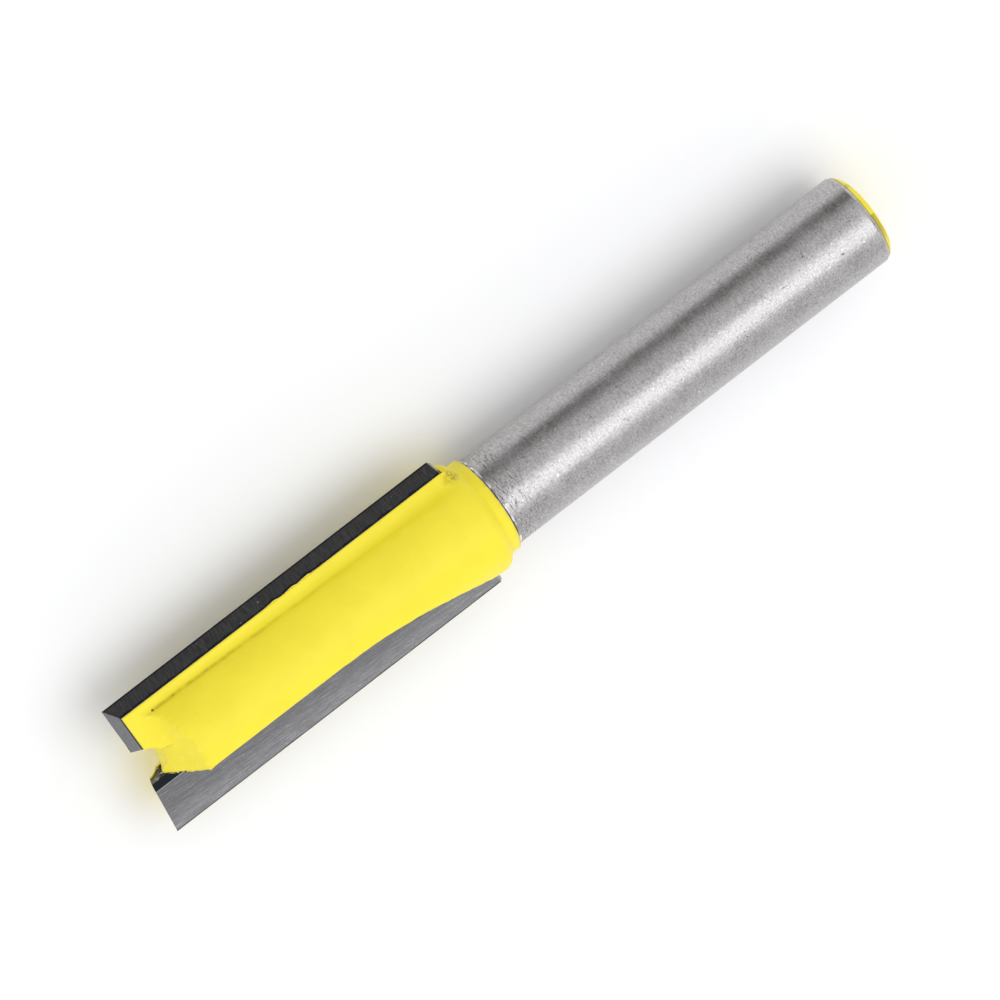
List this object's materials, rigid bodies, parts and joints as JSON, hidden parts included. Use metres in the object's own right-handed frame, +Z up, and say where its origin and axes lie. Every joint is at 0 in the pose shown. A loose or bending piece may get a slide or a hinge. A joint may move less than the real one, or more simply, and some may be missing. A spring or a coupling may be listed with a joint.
{
  "type": "router bit",
  "caption": "Straight router bit with a plain round shank, a painted fluted head and brazed carbide cutting plates, for milling grooves and edges in wood.",
  "frame": {"origin": "on the tool axis at the junction of the shank and the neck", "axes": "+X along the tool axis towards the cutting end, +Z up as the bit lies on its painted head, clear of both plates"},
  "size_m": [0.0732, 0.0118, 0.01],
  "materials": {
    "steel": "ground",
    "carbide": "fine ground",
    "braze": "as flowed",
    "yellow_paint": "gloss"
  },
  "bodies": {
    "root": {"steel_body": "steel", "carbide_plate_1": "carbide", "carbide_plate_2": "carbide", "braze_seam_1": "braze", "braze_seam_2": "braze", "paint_coat": "yellow_paint", "shank_end_paint": "yellow_paint"}
  },
  "joints": []
}
